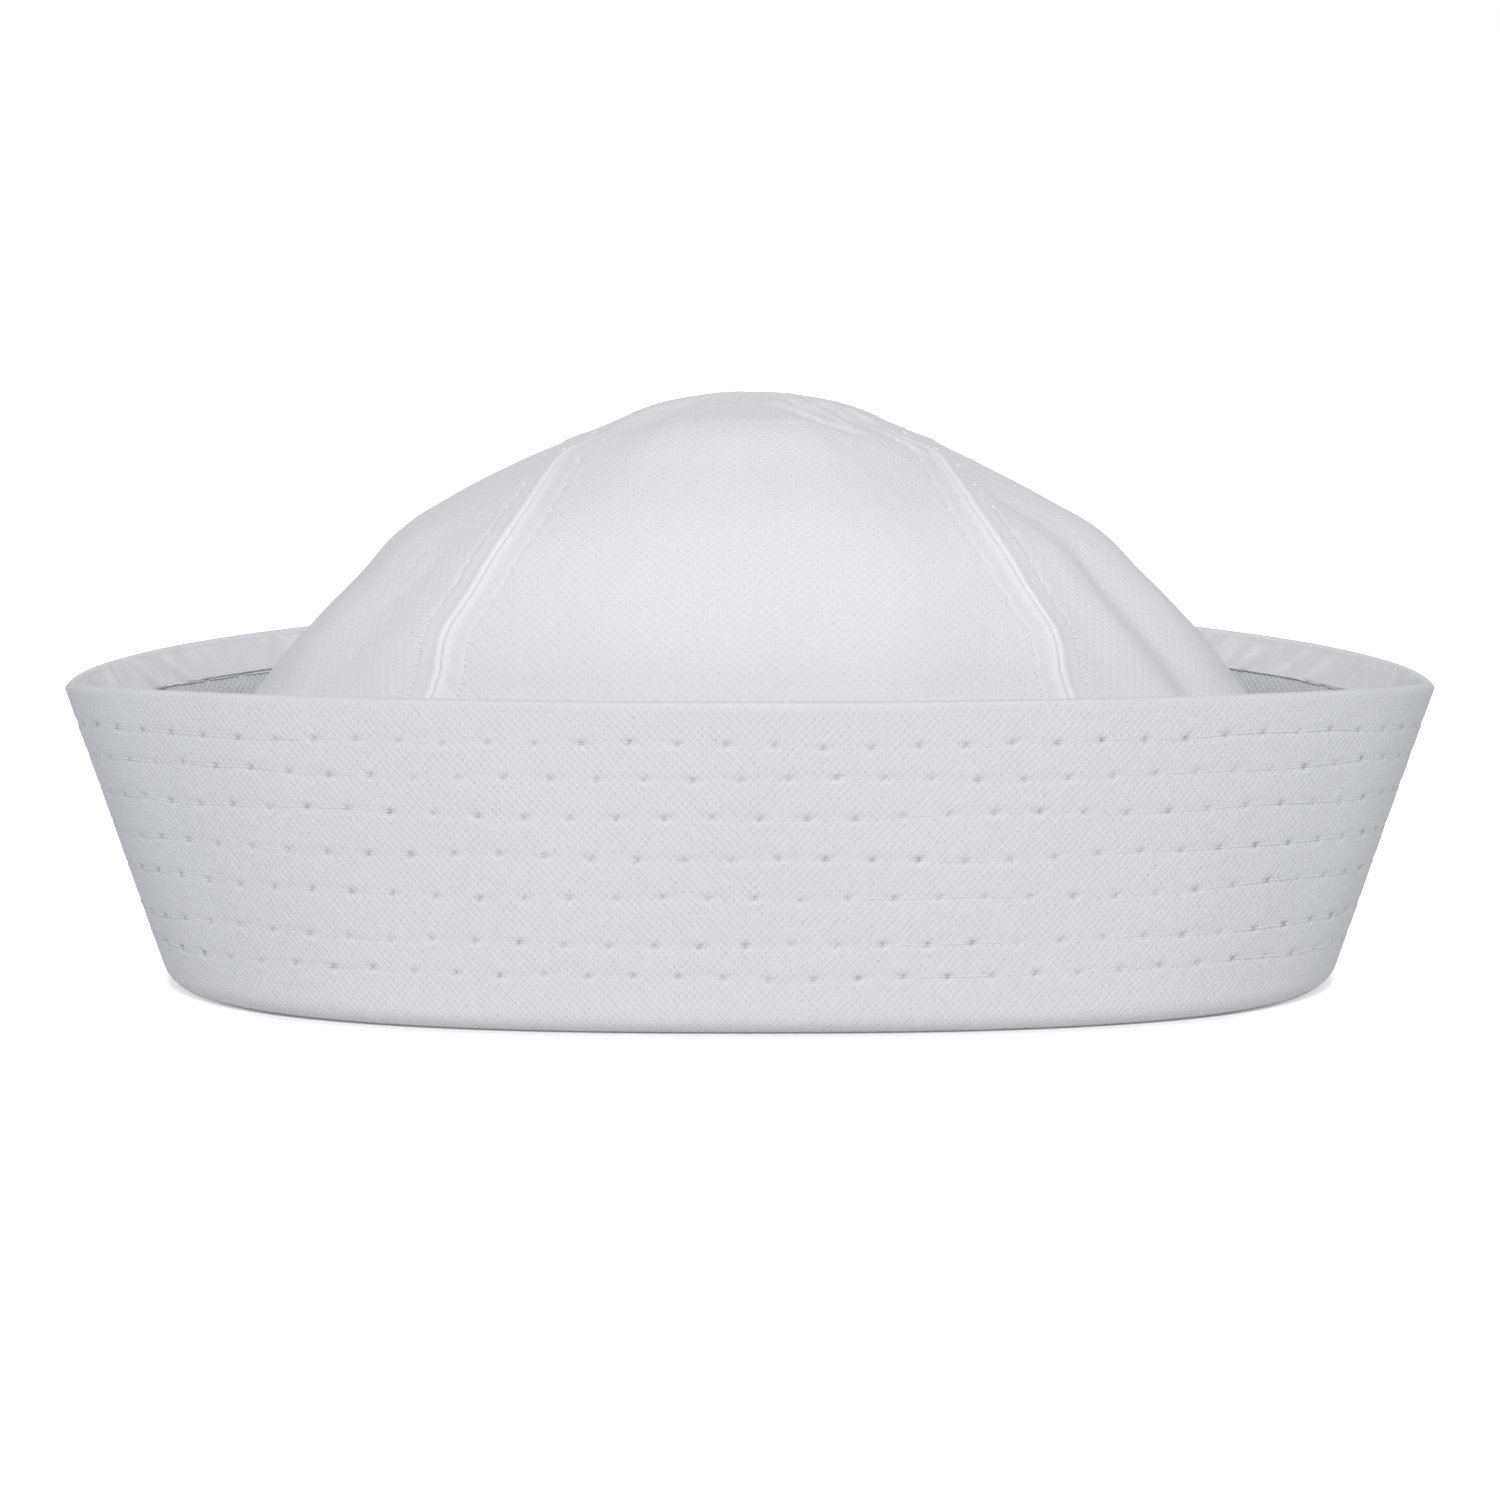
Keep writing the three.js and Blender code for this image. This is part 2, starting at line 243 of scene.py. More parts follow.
# How the rim rises from the sides to the front: the power of its curve, and how round its low ends are.
RIM_RISE_POWER = 0.85
RIM_END_SOFTENING = 0.06
RIM_ROLL = 0.9 * MM
FACING_DEPTH = 6.7 * MM
BRIM_LENGTH = 690 * MM
# The hem's hidden edge, turned up inside: height and inset in mm.
HEM_EDGE = [(3.4, 0.75), (1.2, 0.7), (0.5, 0.5), (0.12, 0.2)]
# The facing's hidden edge, turned back behind it: tuck and height in mm.
FACING_EDGE = [(0.1, -0.3), (0.35, -0.15), (0.6, 1.2)]
FACING_LEAN = 0.15 * MM
# Painted light makes the facing lighter than the wall, and it shows little weave; painted highlights
# make the ridges of its gathers lighter still, and painted shade darkens their hollows.
FACING_PAINTED_LIGHT = 1.09
FACING_WEAVE = 0.2
STITCH_ROWS = [0.135, 0.245, 0.365, 0.5, 0.627, 0.774, 0.878]
# Where each row's first stitch falls, in tenths of a stitch.
ROW_STARTS = [5, 2, 8, 4, 9, 1, 6]
STITCHES_ROUND = 76
STITCH_PITCH = BRIM_LENGTH / STITCHES_ROUND
COLUMNS_A_STITCH = 10
# The rows are drawn in, most at each needle hole, and the cloth puffs between them and puckers beside
# the holes.
ROW_SINK = 0.05 * MM
PUFF = 0.06 * MM
HOLE_SINK = 0.46 * MM
# How much painted shade darkens each needle hole.
HOLE_PAINTED_SHADE = 0.34
PUCKER_RISE = 0.13 * MM
# How far the rows wander, as a whole and from stitch to stitch, and the wall's own unevenness.
ROW_WANDER = 0.22 * MM
STITCH_WANDER = 0.16 * MM
WAVE_RISE = 0.2 * MM
WAVE_SEED = 3
# Mesh rows of the wall: where they lie beside each row of stitches in mm, and the step elsewhere.
ROWS_BY_STITCHES = [-2.6, -1.9, -1.3, -0.85, -0.42, 0, 0.42, 0.85, 1.3, 1.9, 2.6]
WALL_STEP = 1.3 * MM
WALK_POINTS = 2001
# The weave shows less just below the rim, where the cloth is pressed.
PRESSED_EDGE = 2.2 * MM
MEAN_WALL = 60 * MM


def mix(a, b, share):
    return a + (b - a) * share


def oval(a, b, squareness, turn, z):
    """Points of level ovals: turn 0 is at +X and a quarter turn is at the front, towards -Y."""
    c = np.cos(turn)
    s = np.sin(turn)
    x = a * np.sign(c) * np.abs(c) ** (2 / squareness)
    y = -b * np.sign(s) * np.abs(s) ** (2 / squareness)
    return np.stack(np.broadcast_arrays(x, y, z), -1)


def rim_height(turn):
    frontness = np.abs(np.sin(turn))
    least = RIM_END_SOFTENING**RIM_RISE_POWER
    rise = (np.hypot(frontness, RIM_END_SOFTENING) ** RIM_RISE_POWER - least) / (1 - least)
    return mix(RIM_SIDE_HEIGHT, RIM_FRONT_HEIGHT, rise)


def brim_outside(turn, way):
    """The brim's outside: way runs 0 to 1 across the hem, 1 to 2 round the fold, 2 to 3 up the wall."""
    height = rim_height(turn)
    bend = (np.clip(way, 1, 2) - 1) * math.pi / 2
    inset = FOLD_RADIUS * (1 - np.sin(bend)) + (HEM_INSET - FOLD_RADIUS) * (1 - np.clip(way, 0, 1))
    z = FOLD_RADIUS * (1 - np.cos(bend)) + (height - FOLD_RADIUS) * np.clip(way - 2, 0, 1)
    up = z / height
    a = mix(FOOT_HALF_WIDTH, RIM_HALF_WIDTH, up) - inset
    b = mix(FOOT_HALF_DEPTH, RIM_HALF_DEPTH, up) - inset
    return oval(a, b, mix(FOOT_SQUARENESS, RIM_SQUARENESS, up), turn, z)


def unit(vectors):
    return vectors / np.linalg.norm(vectors, axis=-1, keepdims=True)


def brim_frame(turn, way):
    """A point of the brim's outside, with its outward and its upward direction there."""
    step = 0.002
    across = brim_outside(turn + step, way) - brim_outside(turn - step, way)
    low = np.maximum(way - step, 0)
    high = np.minimum(way + step, 3)
    upward = unit(brim_outside(turn, high) - brim_outside(turn, low))
    return brim_outside(turn, way), unit(np.cross(upward, across)), upward


def lengths_along(path):
    """How far along a line each of its points is."""
    steps = np.linalg.norm(np.diff(path, axis=0), axis=1)
    return np.concatenate([[0], np.cumsum(steps)])


def even_turns(way, shares):
    """Turns at even shares of the way round the brim, measured from the middle of the front."""
    walk = np.linspace(0, 2 * math.pi, WALK_POINTS) + math.pi / 2
    lengths = lengths_along(brim_outside(walk, np.full_like(walk, way)))
    return np.interp(np.mod(shares, 1) * lengths[-1], lengths, walk)


def closed_quads(rows, columns):
    """Faces of a grid of points whose last column joins its first."""
    i, j = np.meshgrid(np.arange(rows - 1), np.arange(columns), indexing="ij")
    k = (j + 1) % columns
    corners = [i * columns + j, i * columns + k, (i + 1) * columns + k, (i + 1) * columns + j]
    return np.stack(corners, -1).reshape(-1, 4)


def cloth_object(name, points, flat, values, material):
    """A smooth closed band of cloth from rows of points. Flat holds the cloth's own coordinates,
    kept as its UV map, and values holds numbers for each point, kept as attributes."""
    quads = closed_quads(*points.shape[:2])
    corner_flat = flat.reshape(-1, 2)[quads]
    whole = np.ptp(flat[:, :, 0]) + abs(flat[0, 1, 0] - flat[0, 0, 0])
    lap = corner_flat[:, :, 0] - corner_flat[:, :1, 0]
    corner_flat[:, :, 0] -= np.where(np.abs(lap) > whole / 2, np.sign(lap) * whole, 0)
    mesh = bpy.data.meshes.new(name)
    mesh.from_pydata(points.reshape(-1, 3).tolist(), [], quads.tolist())
    layer = mesh.uv_layers.new(name="cloth")
    layer.data.foreach_set("uv", corner_flat.reshape(-1))
    for label, numbers in values.items():
        attribute = mesh.attributes.new(label, "FLOAT", "POINT")
        numbers = np.ascontiguousarray(numbers, dtype=np.float32)
        attribute.data.foreach_set("value", numbers.reshape(-1))
    mesh.polygons.foreach_set("use_smooth", np.ones(len(quads), dtype=bool))
    mesh.materials.append(material)
    return new_object(name, mesh)


class Material:
    """A new material of cloth or thread, with u and v across its own flat shape."""

    def __init__(self, name):
        self.material, self.start, self.shader = new_material(name)
        self.flat = self.start.node("ShaderNodeUVMap", {"uv_map": "cloth"})
        self.u = self.start.node("ShaderNodeSeparateXYZ", values={0: self.flat})
        self.v = self.u.beside(1)

    def noise(self, scale, detail):
        values = {"Vector": self.flat, "Scale": scale, "Detail": detail}
        return self.start.node("ShaderNodeTexNoise", values=values)

    def attribute(self, name):
        return self.start.node("ShaderNodeAttribute", {"attribute_name": name}, output=2)

    def finish(self, colour, roughness, specular, height, distance, strength=1.0):
        """Connects the colour, the roughness and a bump of the given height."""
        colour.into(self.shader, "Base Color")
        roughness.into(self.shader, "Roughness")
        relief = {"Strength": strength, "Distance": distance, "Height": height}
        self.start.node("ShaderNodeBump", values=relief).into(self.shader, "Normal")
        self.shader.inputs["Specular IOR Level"].default_value = specular
        return self.material


# Plain cloth is a little darker than its clean colour, so that painted light above 1 can still show.
PLAIN_TONE = 0.9
# Noise scales of the cloth: how its rows sway, how its pinholes differ, its cloudiness and its fuzz.
SWAY_SCALE = 210.0
UNEVEN_SCALE = 520.0
CLOUD_SCALE = 30.0
FUZZ_SCALE = 3000.0
# Power that draws each pinhole in to a short slanting slit.
SLIT_WIDTH_POWER = 2.2


def pinhole_cloth(name, clean, pitch, row, slit_length_power, wale, hole_shade, bump_height):
    """White cotton with staggered pinholes between slanting ribs, a faint cloudiness and a fuzz."""
    cloth = Material(name)
    u = cloth.u.size()
    sway = (cloth.noise(SWAY_SCALE, 2.0) - 0.5) * 2.4
    falling = u * (2 * math.pi / pitch) + cloth.v * (math.pi / row) + sway
    rising = u * (2 * math.pi / pitch) - cloth.v * (math.pi / row) + sway
    slit_length = (falling.cosine() * 0.5 + 0.5) ** slit_length_power
    pinhole = slit_length * (rising.cosine() * 0.5 + 0.5) ** SLIT_WIDTH_POWER
    weave = cloth.attribute("weave")
    hole = pinhole * weave * (cloth.noise(UNEVEN_SCALE, 1.0) * 2.4 - 0.5)
    fuzz = cloth.noise(FUZZ_SCALE, 2.0)
    cloudy = cloth.noise(CLOUD_SCALE, 3.0)
    # Painted shade darkens the pinholes; the attribute read here carries the painted shade and
    # highlights of seams, needle holes and facing.
    light = PLAIN_TONE * cloth.attribute("painted_light") * (1 - hole_shade * hole)
    light = light * (1.02 - 0.04 * cloudy) * (1.015 - 0.03 * fuzz)
    ribs = 0.5 * rising.cosine() + 0.12 * falling.cosine() + wale * (falling + rising).cosine()
    height = ribs * weave - 1.1 * hole + 0.3 * fuzz
    cloth.shader.inputs["Sheen Weight"].default_value = 0.1
    cloth.shader.inputs["Sheen Roughness"].default_value = 0.5
    return cloth.finish(light.tint(clean), fuzz * 0.12 + 0.8, 0.2, height, bump_height)


def wall_ways():
    """Places up the wall: close together at each row of stitches and wider apart between the rows."""
    wall = RIM_FRONT_HEIGHT - FOLD_RADIUS
    near = np.array(ROWS_BY_STITCHES) * MM / wall
    places = {0.0, 1 - RIM_ROLL / wall}
    for share in STITCH_ROWS:
        places.update(1 - share + near)
    places = sorted(places)
    filled = []
    for low, high in zip(places, places[1:]):
        steps = max(1, round((high - low) * wall / WALL_STEP))
        filled.extend(low + (high - low) * np.arange(steps) / steps)
    return 2 + np.array(filled + [places[-1]])


# Three random draws for each stitch: how far it strays from its row, how tight it is and how it pulls.
STRAY_LIMIT = 1.5
STRAY = np.random.default_rng(7).normal(0, 1, (len(STITCH_ROWS), STITCHES_ROUND, 3))
STRAY = STRAY.clip(-STRAY_LIMIT, STRAY_LIMIT)


def row_stray(row, share):
    """How far a row of stitches has wandered up or down at a share of the way round."""
    hole = share * STITCHES_ROUND - ROW_STARTS[row] / COLUMNS_A_STITCH
    ends = np.arange(STITCHES_ROUND + 1)
    near = np.interp(np.mod(hole, STITCHES_ROUND), ends, STRAY[row, ends % STITCHES_ROUND, 0])
    turn = share * 2 * math.pi
    far = np.sin(5 * turn + 2 * row) + np.sin(11 * turn + 3 * row)
    return STITCH_WANDER * near + ROW_WANDER * far


def stitch_place(row, share):
    """How far a place is from a row's nearest needle hole, that hole's number, and the row's stray."""
    place = share * STITCHES_ROUND - ROW_STARTS[row] / COLUMNS_A_STITCH
    nearest = np.round(place)
    index = np.mod(nearest, STITCHES_ROUND).astype(int)
    return (place - nearest) * STITCH_PITCH, index, row_stray(row, share)


def bell(distance, reach):
    return np.exp(-((distance / reach) ** 2))


def stitch_relief(way, shares, wall):
    """How the rows of stitches draw the wall in at a level, and the painted shade and highlights of the
    cloth there.
    """
    rise = np.zeros_like(shares)
    painted_light = np.ones_like(shares)
    edges = [0] + STITCH_ROWS + [1]
    for low, high in zip(edges, edges[1:]):
        inside = (3 - way - low) / (high - low)
        if 0 < inside < 1:
            strength = 0.3 if low == 0 or high == 1 else 1
            rise += strength * PUFF * math.sin(inside * math.pi) ** 0.8
    for row, share in enumerate(STITCH_ROWS):
        along, index, stray = stitch_place(row, shares)
        tightness = 1 + 0.25 * STRAY[row, index, 1]
        pucker = PUCKER_RISE * tightness
        up = (way - (3 - share)) * wall - stray
        # The row and its needle holes, then a pucker below and a weaker one above each hole.
        rise -= ROW_SINK * bell(up, 1.3 * MM)
        rise -= HOLE_SINK * tightness * bell(along, 0.8 * MM) * bell(up, 0.5 * MM)
        rise += pucker * bell(along, 1.5 * MM) * bell(up + 1.05 * MM, 0.55 * MM)
        rise += 0.5 * pucker * bell(along, 2 * MM) * bell(up - 1.4 * MM, 0.7 * MM)
        # Faint slanting pulls above and below the hole, which lean the other way on each flank.
        slant = 0.35 * along * np.sign(np.mod(shares + 0.5, 1) - 0.5)
        above = bell(up + slant - 2.1 * MM, 0.6 * MM)
        below = bell(up + slant + 2.1 * MM, 0.6 * MM)
        rise += 0.35 * PUCKER_RISE * STRAY[row, index, 2] * bell(along, 3.4 * MM) * (above + below)
        # Painted shade darkens the hole, and a painted highlight lightens its lower lip.
        painted_light -= HOLE_PAINTED_SHADE * tightness * bell(along, 0.65 * MM) * bell(up, 0.45 * MM)
        painted_light += 0.05 * bell(along, 0.9 * MM) * bell(up + 0.95 * MM, 0.4 * MM)
    return rise, painted_light


def slow_waves(turn, level, seed, counts=(3, 5, 8, 13, 21)):
    """Broad shallow unevenness, as of cloth pressed by hand."""
    draw = np.random.default_rng(seed)
    total = np.zeros_like(turn)
    for count in counts:
        phase = draw.uniform(0, 2 * math.pi)
        lean = draw.uniform(-1.5, 1.5)
        total += draw.normal(0, 1) * np.sin(count * turn + lean * level + phase) / math.sqrt(count)
    return total


def wall_waves(turn, way):
    """The same unevenness for all that lies on the brim's wall: cloth, lining and stitches."""
    return WAVE_RISE * slow_waves(turn, way, WAVE_SEED)


GATHERS = 220
GATHER_SEED = 11
GATHER_SINK = 0.8 * MM
GATHER_RISE = 0.12 * MM


def facing_gathers(shares, down):
    """Small slanting gathers of the facing, strongest near the two sides of the rim."""
    draw = np.random.default_rng(GATHER_SEED)
    total = np.zeros_like(shares)
    for _ in range(GATHERS):
        end = draw.choice([0.25, 0.75])
        place = end + draw.normal(0, 0.08)
        lean = draw.normal(0.007, 0.003) * (1 if end < 0.5 else -1)
        width = draw.uniform(0.0010, 0.0020)
        depth = draw.normal(-0.1, 0.5) * MM
        middle = draw.uniform(0, 1)
        away = np.mod(shares - place - lean * (down - 0.5) + 0.5, 1) - 0.5
        total += depth * bell(away, width) * bell(down - middle, 0.5)
    return np.clip(total, -GATHER_SINK, GATHER_RISE)


class Band:
    """Rows of points round the brim, gathered one by one with their flat places and their values."""

    def __init__(self, columns):
        self.shares = np.arange(columns) / columns
        self.rows = []
        self.length = 0.0

    def add(self, points, painted_light=1.0, weave=1.0):
        if self.rows:
            last_points = self.rows[-1][0]
            self.length += np.mean(np.linalg.norm(points - last_points, axis=1))
        around = (np.mod(self.shares + 0.5, 1) - 0.5) * BRIM_LENGTH
        around, length, painted_light, weave = np.broadcast_arrays(around, self.length, painted_light, weave)
        self.rows.append((points, np.stack([around, length], -1), painted_light, weave))

    def piece(self, name, material):
        """The band as a mesh, its columns turned round so that its faces look outwards."""
        points, flats, painted_lights, weaves = (np.array(rows)[:, ::-1] for rows in zip(*self.rows))
        return cloth_object(name, points, flats, {"painted_light": painted_lights, "weave": weaves}, material)


def build_brim(material):
    band = Band(STITCHES_ROUND * COLUMNS_A_STITCH)
    shares = band.shares
    foot_turn = even_turns(0.0, shares)
    for height, inset in HEM_EDGE:
        point, _, inwards = brim_frame(foot_turn, np.zeros_like(shares))
        # The hidden hem edge is painted a little darker: painted shade.
        band.add(point - inwards * inset * MM + np.array([0, 0, height * MM]), 0.95)
    hem_ways = [0.0, 0.4, 0.8]
    fold_ways = np.linspace(1, 2, 7)[:-1]
    for way in np.concatenate([hem_ways, fold_ways, wall_ways()]):
        turn = even_turns(way, shares)
        point, outward, _ = brim_frame(turn, np.full_like(turn, way))
        up_wall = np.clip(way - 2, 0, 1)
        rise, painted_light = stitch_relief(way, shares, np.mean(rim_height(turn)) - FOLD_RADIUS)
        rise = np.where(up_wall > 0, rise, 0) + wall_waves(turn, way) * up_wall
        below_rim = np.clip((3 - way) * MEAN_WALL / PRESSED_EDGE, 0, 1)
        band.add(point + outward * rise[:, None], painted_light, mix(0.35, 1, below_rim))
    turn = even_turns(3.0, shares)
    wall = rim_height(turn) - FOLD_RADIUS
    way = 3 - RIM_ROLL / wall
    waves = wall_waves(turn, 3.0)
    for bend in np.linspace(0, math.pi, 8)[1:]:
        point, outward, upward = brim_frame(turn, way)
        gather = facing_gathers(shares, 0) * (bend / math.pi) ** 2
        drift = waves + gather - RIM_ROLL * (1 - math.cos(bend))
        point = point + outward * drift[:, None] + upward * RIM_ROLL * math.sin(bend)
        band.add(point, 1.0, 0.25)
    for down in np.linspace(0, 1, 12)[1:]:
        point, outward, _ = brim_frame(turn, way - FACING_DEPTH * down / wall)
        gather = facing_gathers(shares, down)
        drift = waves + gather - 2 * RIM_ROLL - FACING_LEAN * down
        # Painted highlights on the ridges of the gathers, painted shade in their hollows.
        painted_light = FACING_PAINTED_LIGHT + 0.1 * np.clip(-gather / (0.4 * MM), -0.5, 1)
        band.add(point + outward * drift[:, None], painted_light, FACING_WEAVE)
    for tuck, rise in FACING_EDGE:
        point, outward, upward = brim_frame(turn, way - FACING_DEPTH / wall)
        drift = waves - 2 * RIM_ROLL - FACING_LEAN + tuck * MM
        point = point + outward * drift[:, None] + upward * rise * MM
        # The tucked edge of the facing is painted darker: painted shade.
        band.add(point, 0.9, FACING_WEAVE)
    return band.piece("brim_outer_cloth", material)


brim_cloth = pinhole_cloth(
    "white_pinhole_pique",
    clean=(0.898, 0.891, 0.91, 1),
    pitch=1.6 * MM,
    row=0.85 * MM,
    slit_length_power=0.9,
    wale=0.0,
    hole_shade=0.16,
    bump_height=0.06 * MM,
)
brim = build_brim(brim_cloth)
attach(brim, "root")
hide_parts("brim_shell", "rim_facing")

# Rows of stitches through the brim: white cotton thread, one long stitch from needle hole to needle
# hole on the outside, drawn down into the cloth at each.
THREAD_RADIUS = 0.14 * MM
THREAD_SIDES = 6
THREAD_TWISTS_A_METRE = 5200.0 / (2 * math.pi)
# How deep the stitches lie in the cloth: more at the front, where the rows are seen straight on.
FRONT_DEPTH = 0.18 * MM
SIDE_DEPTH = 0.05 * MM
FRONT_TO = 55 * MM
SIDES_FROM = 105 * MM
# Along a stitch: place, height above its ends in thread radii, thickness as a share.
THREAD_STATIONS = [
    (0, -2.4, 0.35), (0.04, -1.2, 0.9), (0.14, 0.2, 1), (0.35, 0.75, 1), (0.5, 0.85, 1),
    (0.65, 0.75, 1), (0.86, 0.2, 1), (0.96, -1.2, 0.9), (1, -2.4, 0.35),
]


def twisted_thread(name, clean):
    cotton = Material(name)
    turns = cotton.u * THREAD_TWISTS_A_METRE + cotton.v
    twist = (turns * (2 * math.pi)).cosine() * 0.5 + 0.5
    # The colour is painted darker in the grooves between the twists: painted shade.
    colour = (0.92 + 0.08 * twist).tint(clean)
    return cotton.finish(colour, 0.65 + 0.1 * twist, 0.3, twist, 0.03 * MM, strength=0.8)


def threads(name, starts, ends, outward, radius, stations, material):
    """One mesh of many stitches, each a thin tapered strand that bows outwards between its ends."""
    place, height, thickness = (np.array(column) for column in zip(*stations))
    along = unit(ends - starts)
    outward = unit(outward - along * np.sum(outward * along, axis=1, keepdims=True))
    sideways = np.cross(along, outward)
    angle = (np.arange(THREAD_SIDES) / THREAD_SIDES * 2 * math.pi)[:, None]
    middle = starts[:, None] + (ends - starts)[:, None] * place[:, None]
    middle = middle + outward[:, None] * (height * radius)[:, None]
    spoke = outward[:, None] * np.cos(angle) + sideways[:, None] * np.sin(angle)
    ring = middle[:, :, None] + spoke[:, None] * (thickness * radius)[:, None, None]
    count = len(starts)
    block = len(place) * THREAD_SIDES
    one = closed_quads(len(place), THREAD_SIDES)
    quads = (one[None] + (np.arange(count) * block)[:, None, None]).reshape(-1, 4)
    sides = range(THREAD_SIDES)
    caps = [[n * block + side for side in reversed(sides)] for n in range(count)]
    caps += [[(n + 1) * block - THREAD_SIDES + side for side in sides] for n in range(count)]
    mesh = bpy.data.meshes.new(name)
    mesh.from_pydata(ring.reshape(-1, 3).tolist(), [], quads.tolist() + caps)
    lengths = np.linalg.norm(ends - starts, axis=1)
    u = (lengths[:, None] * place)[:, :, None]
    v = np.arange(THREAD_SIDES) / THREAD_SIDES
    flat = np.stack(np.broadcast_arrays(u, v), -1).reshape(-1, 2)
    loops = np.empty(len(mesh.loops), dtype=np.int32)
    mesh.loops.foreach_get("vertex_index", loops)
    mesh.uv_layers.new(name="cloth").data.foreach_set("uv", flat[loops].reshape(-1))
    mesh.polygons.foreach_set("use_smooth", np.ones(len(mesh.polygons), dtype=bool))
    mesh.materials.append(material)
    return new_object(name, mesh)


def brim_stitches(name, front_depth, side_depth, sign, material):
    """The stitches of all rows on one face of the brim: sign is 1 outside and -1 on the lining."""
    stitches = []
    for row, share in enumerate(STITCH_ROWS):
        hole = np.arange(STITCHES_ROUND)
        at = (hole + ROW_STARTS[row] / COLUMNS_A_STITCH) / STITCHES_ROUND
        turn = even_turns(3 - share, at)
        point, outward, upward = brim_frame(turn, np.full_like(turn, 3 - share))
        waves = wall_waves(turn, 3 - share)
        sideness = np.clip((np.abs(point[:, 0]) - FRONT_TO) / (SIDES_FROM - FRONT_TO), 0, 1)
        depth = mix(front_depth, side_depth, sideness)
        point = point + upward * row_stray(row, at)[:, None] + outward * (waves - depth)[:, None]
        stitches.append((point, np.roll(point, -1, axis=0), sign * outward))
    starts, ends, normals = (np.concatenate(parts) for parts in zip(*stitches))
    return threads(name, starts, ends, normals, THREAD_RADIUS, THREAD_STATIONS, material)


thread = twisted_thread("soft_white_thread", (0.84, 0.837, 0.848, 1))
brim_rows = brim_stitches("brim_stitches", FRONT_DEPTH, SIDE_DEPTH, 1, thread)
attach(brim_rows, "root")

# Brim, inner ply: a plain, coarser cotton that lines the wall from the fold up to the facing. Its top
# edge is caught under the facing, and its foot turns in over the hem to meet the crown.
LINING_DEPTH = 1.85 * MM
LINING_COLUMNS = 380
LINING_ROWS = 58
# Where the lining starts below the rim, tucked up behind the facing.
LINING_TOP = 6.2 * MM
TUCK = 0.35 * MM
# How far the rows of stitches, and their holes, draw the lining out to the outer ply.
ROW_DRAW = 0.16 * MM
HOLE_DRAW = 0.2 * MM
LOOSENESS = 0.18 * MM
# The lining's foot, by the brim's own way round the fold and in over the hem: way and depth in mm.
LINING_FOOT = [(1.75, 2.0), (1.5, 2.2), (1.2, 2.2), (1.0, 2.0), (0.5, 1.8), (0.0, 1.7)]


def coarse_cloth(name, clean, pitch):
    """Plain weave of a coarser thread, uneven, cloudy and fuzzy."""
    cloth = Material(name)
    sway = (cloth.noise(260.0, 2.0) - 0.5) * 1.6
    thread_turn = 2 * math.pi / pitch
    over = (cloth.u * thread_turn + sway).cosine() * (cloth.v * thread_turn + sway).cosine()
    fuzz = cloth.noise(1600.0, 3.0)
    cloudy = cloth.noise(60.0, 3.0)
    # The raised crossings of the weave are painted lighter and the low ones darker: painted highlight
    # and painted shade.
    light = cloth.attribute("painted_light") * (0.97 + 0.035 * over)
    light = light * (1.05 - 0.08 * cloudy) * (1.06 - 0.12 * fuzz)
    return cloth.finish(light.tint(clean), fuzz * 0.1 + 0.85, 0.15, 0.5 * over + fuzz, 0.12 * MM)


def build_lining(material):
    band = Band(LINING_COLUMNS)
    shares = band.shares
    turn = even_turns(3.0, shares)
    wall = rim_height(turn) - FOLD_RADIUS
    waves = wall_waves(turn, 3.0)
    for down in np.arange(LINING_ROWS) * MM:
        reach = down / ((LINING_ROWS - 1) * MM)
        way = 3 - mix(LINING_TOP, wall, reach) / wall
        point, outward, _ = brim_frame(turn, way)
        rise = np.zeros_like(shares)
        for row, share in enumerate(STITCH_ROWS):
            along, _, stray = stitch_place(row, shares)
            up = (way - (3 - share)) * wall - stray
            rise += (ROW_DRAW + HOLE_DRAW * bell(along, 1.2 * MM)) * bell(up, 1.4 * MM)
        loose = slow_waves(turn, way * 2, 5, (9, 14, 23, 37)) * min(down / (12 * MM), 1)
        tucked = TUCK * max(0, 1 - down / (1.5 * MM))
        drift = waves + rise + tucked - LINING_DEPTH - LOOSENESS * loose
        band.add(point + outward * drift[:, None])
    for way, depth in LINING_FOOT:
        point, outward, _ = brim_frame(even_turns(way, shares), np.full_like(shares, way))
        # The lining's foot, turned in over the hem, is painted a little darker: painted shade.
        band.add(point - outward * depth * MM, 0.95)
    return band.piece("brim_inner_lining", material)


lining_cloth = coarse_cloth("grey_white_cotton", (0.66, 0.67, 0.684, 1), 1.5 * MM)
lining = build_lining(lining_cloth)
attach(lining, "root")
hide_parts("brim_lining")

# Rows of stitches on the lining: the same seven rows where their white cotton thread comes out on the
# inner ply, from the same needle holes, lying a little proud of the coarse cloth.
LINING_ROW_DEPTH = LINING_DEPTH - 0.1 * MM
lining_rows = brim_stitches("lining_stitches", LINING_ROW_DEPTH, LINING_ROW_DEPTH, -1, thread)
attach(lining_rows, "root")

# Crown: four wedges of the same white cotton sewn edge to edge up to one point. Each seam is pressed
# open and its allowances are topstitched down on both sides, which raises a flat band along it.
CROWN_FOOT = 0.5 * MM
CAD_FOOT = 1.4 * MM
CROWN_HEIGHT = 116 * MM
CROWN_HALF_WIDTH = 108 * MM
CROWN_HALF_DEPTH = 70 * MM
CROWN_CLOTH = 1.2 * MM
